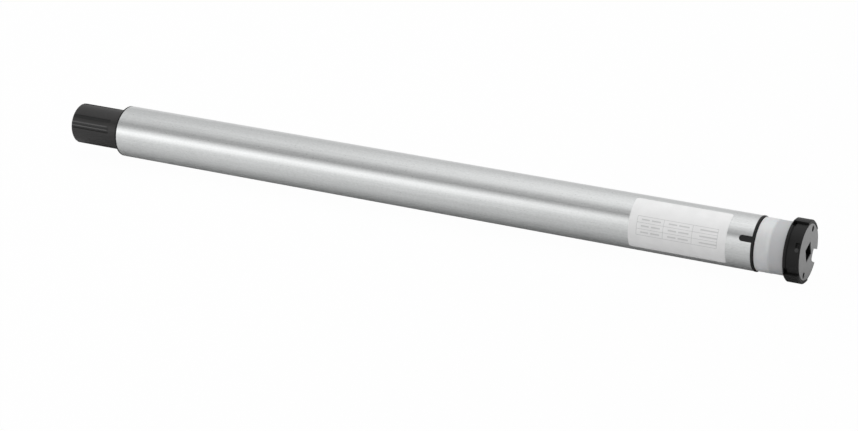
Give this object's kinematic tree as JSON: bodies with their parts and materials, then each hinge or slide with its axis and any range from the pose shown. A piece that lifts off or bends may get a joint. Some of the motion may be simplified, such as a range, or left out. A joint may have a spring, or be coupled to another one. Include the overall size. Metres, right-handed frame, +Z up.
{
  "type": "tubular roller blind motor",
  "caption": "Tubular motor for a roller blind: metal tube, head with square socket and cable notch, turning crown ring, grooved drive spigot, with motor, brake and planetary gearbox inside.",
  "frame": {"origin": "centre of the head's front face, on the motor axis", "axes": "+X out of the head's face along the motor axis, +Z up; the tube and the drive spigot lie towards -X"},
  "size_m": [0.5315, 0.0392, 0.04],
  "materials": {
    "tube_metal": "satin, drawn along its length",
    "face_zinc": "die-cast, fine matt grain",
    "black_plastic": "moulded, glass filled, matt",
    "crown_plastic": "moulded, satin",
    "inner_plastic": "moulded, matt",
    "gear_plastic": "acetal, satin",
    "connector_plastic": "moulded, satin",
    "gear_metal": "sintered",
    "screw_zinc": "zinc plated",
    "pin_brass": "plain",
    "magnet": "plain",
    "circuit_board": "solder mask",
    "relay_blue": "moulded",
    "can_sleeve": "shrunk sleeve",
    "chip_black": "moulded",
    "wire_jacket": "insulated wire",
    "capacitor_case": "plastic case",
    "bell_alloy": "die-cast",
    "lamination": "stacked sheet",
    "winding": "enamelled wire",
    "friction": "friction lining",
    "seal_rubber": "moulded",
    "label_film": "printed film"
  },
  "bodies": {
    "root": {"motor_tube": "tube_metal", "face_plate": "face_zinc", "head_flange": "black_plastic", "head_core": "black_plastic", "head_screws": "screw_zinc", "tube_screws": "screw_zinc", "inlet_socket": "connector_plastic", "inlet_pins": "pin_brass", "sensor_board": "circuit_board", "board_carrier": "inner_plastic", "control_board": "circuit_board", "relays": "relay_blue", "lead_header": "connector_plastic", "board_capacitors": "can_sleeve", "board_chips": "chip_black", "inlet_wires": "wire_jacket", "capacitor_cradle": "inner_plastic", "run_capacitor": "capacitor_case", "board_wires": "wire_jacket", "lead_plug": "connector_plastic", "motor_wires": "wire_jacket", "rear_end_bell": "bell_alloy", "front_end_bell": "bell_alloy", "stator_core": "lamination", "stator_windings": "winding", "rotor_bearings": "screw_zinc", "brake_yoke": "lamination", "brake_coil": "winding", "brake_spring": "screw_zinc", "brake_housing": "bell_alloy", "shaft_bush": "pin_brass", "input_ring_gear": "gear_plastic", "main_ring_gear": "gear_metal", "end_cap": "black_plastic", "output_bush": "pin_brass", "output_seal": "seal_rubber", "edge_connector": "connector_plastic"},
    "crown": {"crown_ring": "crown_plastic"},
    "encoder": {"encoder_pinion": "gear_plastic", "encoder_magnet": "magnet"},
    "output": {"carrier_3": "gear_metal", "shaft_clip": "screw_zinc", "drive_spigot": "black_plastic", "spigot_screw": "screw_zinc"},
    "stage_2": {"carrier_2": "gear_metal"},
    "stage_1": {"carrier_1": "gear_metal"},
    "rotor": {"rotor_shaft": "gear_metal", "rotor_core": "lamination", "rotor_cage": "bell_alloy", "brake_disc": "friction"},
    "armature": {"brake_plate": "lamination"},
    "planet_3a_gear": {"planet_3a": "gear_metal"},
    "planet_3b_gear": {"planet_3b": "gear_metal"},
    "planet_3c_gear": {"planet_3c": "gear_metal"},
    "planet_2a_gear": {"planet_2a": "gear_metal"},
    "planet_2b_gear": {"planet_2b": "gear_metal"},
    "planet_2c_gear": {"planet_2c": "gear_metal"},
    "planet_1a_gear": {"planet_1a": "gear_plastic"},
    "planet_1b_gear": {"planet_1b": "gear_plastic"},
    "planet_1c_gear": {"planet_1c": "gear_plastic"}
  },
  "joints": [
    {"name": "crown_turn", "type": "hinge", "parent": "root", "child": "crown", "pos_m": [-0.02, 0, 0], "axis": [1, 0, 0], "continuous": true},
    {"name": "encoder_turn", "type": "hinge", "parent": "root", "child": "encoder", "pos_m": [-0.013, -0.00334, 0.01059], "axis": [1, 0, 0], "continuous": true},
    {"name": "drive_spin", "type": "hinge", "parent": "root", "child": "output", "pos_m": [-0.5, 0, 0], "axis": [1, 0, 0], "continuous": true},
    {"name": "carrier_2_spin", "type": "hinge", "parent": "root", "child": "stage_2", "pos_m": [-0.45, 0, 0], "axis": [1, 0, 0], "continuous": true},
    {"name": "carrier_1_spin", "type": "hinge", "parent": "root", "child": "stage_1", "pos_m": [-0.44, 0, 0], "axis": [1, 0, 0], "continuous": true},
    {"name": "rotor_spin", "type": "hinge", "parent": "root", "child": "rotor", "pos_m": [-0.33, 0, 0], "axis": [1, 0, 0], "continuous": true},
    {"name": "planet_3a_spin", "type": "hinge", "parent": "output", "child": "planet_3a_gear", "pos_m": [-0.463, 0, 0.0081], "axis": [1, 0, 0], "continuous": true},
    {"name": "planet_3b_spin", "type": "hinge", "parent": "output", "child": "planet_3b_gear", "pos_m": [-0.463, 0.00701, -0.00405], "axis": [1, 0, 0], "continuous": true},
    {"name": "planet_3c_spin", "type": "hinge", "parent": "output", "child": "planet_3c_gear", "pos_m": [-0.463, -0.00701, -0.00405], "axis": [1, 0, 0], "continuous": true},
    {"name": "planet_2a_spin", "type": "hinge", "parent": "stage_2", "child": "planet_2a_gear", "pos_m": [-0.448, 0, 0.0081], "axis": [1, 0, 0], "continuous": true},
    {"name": "planet_2b_spin", "type": "hinge", "parent": "stage_2", "child": "planet_2b_gear", "pos_m": [-0.448, 0.00701, -0.00405], "axis": [1, 0, 0], "continuous": true},
    {"name": "planet_2c_spin", "type": "hinge", "parent": "stage_2", "child": "planet_2c_gear", "pos_m": [-0.448, -0.00701, -0.00405], "axis": [1, 0, 0], "continuous": true},
    {"name": "planet_1a_spin", "type": "hinge", "parent": "stage_1", "child": "planet_1a_gear", "pos_m": [-0.436, 0, 0.00825], "axis": [1, 0, 0], "continuous": true},
    {"name": "planet_1b_spin", "type": "hinge", "parent": "stage_1", "child": "planet_1b_gear", "pos_m": [-0.436, 0.00714, -0.00413], "axis": [1, 0, 0], "continuous": true},
    {"name": "planet_1c_spin", "type": "hinge", "parent": "stage_1", "child": "planet_1c_gear", "pos_m": [-0.436, -0.00714, -0.00413], "axis": [1, 0, 0], "continuous": true},
    {"name": "brake_release", "type": "slide", "parent": "root", "child": "armature", "axis": [1, 0, 0], "range_m": [0, 0.0005], "stiffness_N_per_m": 1500, "springref_m": -0.004, "deforming": ["brake_spring"]}
  ],
  "couplings": [
    {"joint": "encoder_turn", "follows": "crown_turn", "ratio": 4.0833},
    {"joint": "carrier_2_spin", "follows": "drive_spin", "ratio": 6},
    {"joint": "carrier_1_spin", "follows": "drive_spin", "ratio": 36},
    {"joint": "rotor_spin", "follows": "drive_spin", "ratio": 198},
    {"joint": "planet_3a_spin", "follows": "drive_spin", "ratio": -2.5},
    {"joint": "planet_3b_spin", "follows": "drive_spin", "ratio": -2.5},
    {"joint": "planet_3c_spin", "follows": "drive_spin", "ratio": -2.5},
    {"joint": "planet_2a_spin", "follows": "drive_spin", "ratio": -15},
    {"joint": "planet_2b_spin", "follows": "drive_spin", "ratio": -15},
    {"joint": "planet_2c_spin", "follows": "drive_spin", "ratio": -15},
    {"joint": "planet_1a_spin", "follows": "drive_spin", "ratio": -92.571},
    {"joint": "planet_1b_spin", "follows": "drive_spin", "ratio": -92.571},
    {"joint": "planet_1c_spin", "follows": "drive_spin", "ratio": -92.571}
  ]
}
